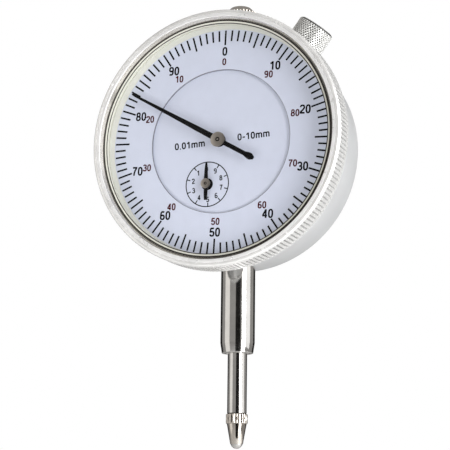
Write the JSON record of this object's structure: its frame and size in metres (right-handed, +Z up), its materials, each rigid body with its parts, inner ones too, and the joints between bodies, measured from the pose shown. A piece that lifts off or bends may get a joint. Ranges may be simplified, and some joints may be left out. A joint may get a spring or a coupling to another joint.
{
  "type": "dial indicator",
  "caption": "Plunger dial indicator with a round glazed dial, knurled turning bezel, bezel clamp, straight stem, lug back and ball contact point.",
  "frame": {"origin": "on the plunger's axis, at the middle of the exposed stem, where a holder clamps it", "axes": "+Z up along the plunger away from the contact point, -Y out of the dial towards the reader, +X to the reader's right"},
  "size_m": [0.0606, 0.0379, 0.1059],
  "materials": {
    "satin_case": "satin bead-blasted plated casting",
    "satin_bezel": "satin chrome with knurling",
    "polished_steel": "ground and polished steel",
    "steel": "turned steel",
    "brass": "machined brass",
    "dial_face": "pale blue printed metal dial",
    "black_paint": "satin black lacquer",
    "crystal": "clear polished crystal",
    "gasket": "cream seating ring"
  },
  "bodies": {
    "case": {"case_body": "satin_case", "stem": "polished_steel", "lower_bush": "brass", "upper_bush": "brass", "top_cap": "polished_steel", "back_cover": "satin_case", "cover_screw_1": "steel", "cover_screw_2": "steel", "cover_screw_3": "steel", "cover_screw_4": "steel", "inner_dial": "dial_face", "front_plate": "brass", "main_plate": "brass", "pillar_1": "brass", "pillar_2": "brass", "pillar_3": "brass", "front_plate_screw_1": "steel", "front_plate_screw_2": "steel", "front_plate_screw_3": "steel", "main_plate_screw_1": "steel", "main_plate_screw_2": "steel", "main_plate_screw_3": "steel", "dial_foot_1": "brass", "dial_foot_2": "brass", "dial_foot_3": "brass", "counter_bridge": "brass", "bridge_post_1": "brass", "bridge_post_2": "brass", "bridge_screw_1": "steel", "bridge_screw_2": "steel", "guide_rail": "steel", "spring_post": "steel", "hairspring": "steel", "hairspring_stud": "brass", "return_spring": "steel"},
    "bezel": {"bezel_ring": "satin_bezel", "crystal": "crystal", "crystal_gasket": "gasket", "scale_ring": "dial_face", "bezel_snap_ring": "steel"},
    "plunger": {"plunger_rod": "polished_steel", "guide_pin": "steel", "contact_point": "polished_steel", "contact_ball": "steel"},
    "counter_train": {"counter_arbor": "steel", "drive_wheel": "brass", "drive_wheel_collet": "brass", "turn_count_hand": "black_paint", "turn_count_hub": "steel"},
    "centre_train": {"centre_arbor": "steel", "main_hand": "black_paint", "main_hand_hub": "steel"},
    "take_up_train": {"take_up_arbor": "steel", "take_up_wheel": "brass", "hairspring_collet": "brass"},
    "clamp_shoe": {"clamp_shoe": "brass"},
    "clamp_knob": {"clamp_knob": "satin_bezel"}
  },
  "joints": [
    {"name": "plunger_slide", "type": "slide", "parent": "case", "child": "plunger", "axis": [0, 0, 1], "range_m": [0, 0.0104], "stiffness_N_per_m": 50, "springref_m": -0.012, "deforming": ["return_spring"]},
    {"name": "bezel_turn", "type": "hinge", "parent": "case", "child": "bezel", "pos_m": [0, -0.01283, 0.0388], "axis": [0, 1, 0], "continuous": true},
    {"name": "counter_turn", "type": "hinge", "parent": "case", "child": "counter_train", "pos_m": [-0.0032, 0, 0.02884], "axis": [0, -1, 0], "range_deg": [-4, 378]},
    {"name": "hand_turn", "type": "hinge", "parent": "case", "child": "centre_train", "pos_m": [0, 0, 0.0388], "axis": [0, 1, 0], "range_deg": [-40, 3780]},
    {"name": "take_up_turn", "type": "hinge", "parent": "case", "child": "take_up_train", "pos_m": [0.00523, 0, 0.04786], "axis": [0, -1, 0], "range_deg": [-4, 378]},
    {"name": "clamp_press", "type": "slide", "parent": "case", "child": "clamp_shoe", "axis": [-0.5948, 0, -0.8039], "range_m": [0, 0.00025]},
    {"name": "clamp_knob_turn", "type": "hinge", "parent": "clamp_shoe", "child": "clamp_knob", "pos_m": [0.01784, -0.0042, 0.06292], "axis": [-0.5948, 0, -0.8039], "range_deg": [0, 180]}
  ],
  "couplings": [
    {"joint": "counter_turn", "follows": "plunger_slide", "rad_per_m": 628.32},
    {"joint": "hand_turn", "follows": "plunger_slide", "rad_per_m": 6283.2},
    {"joint": "take_up_turn", "follows": "plunger_slide", "rad_per_m": 628.32},
    {"joint": "clamp_knob_turn", "follows": "clamp_press", "rad_per_m": 12566}
  ]
}
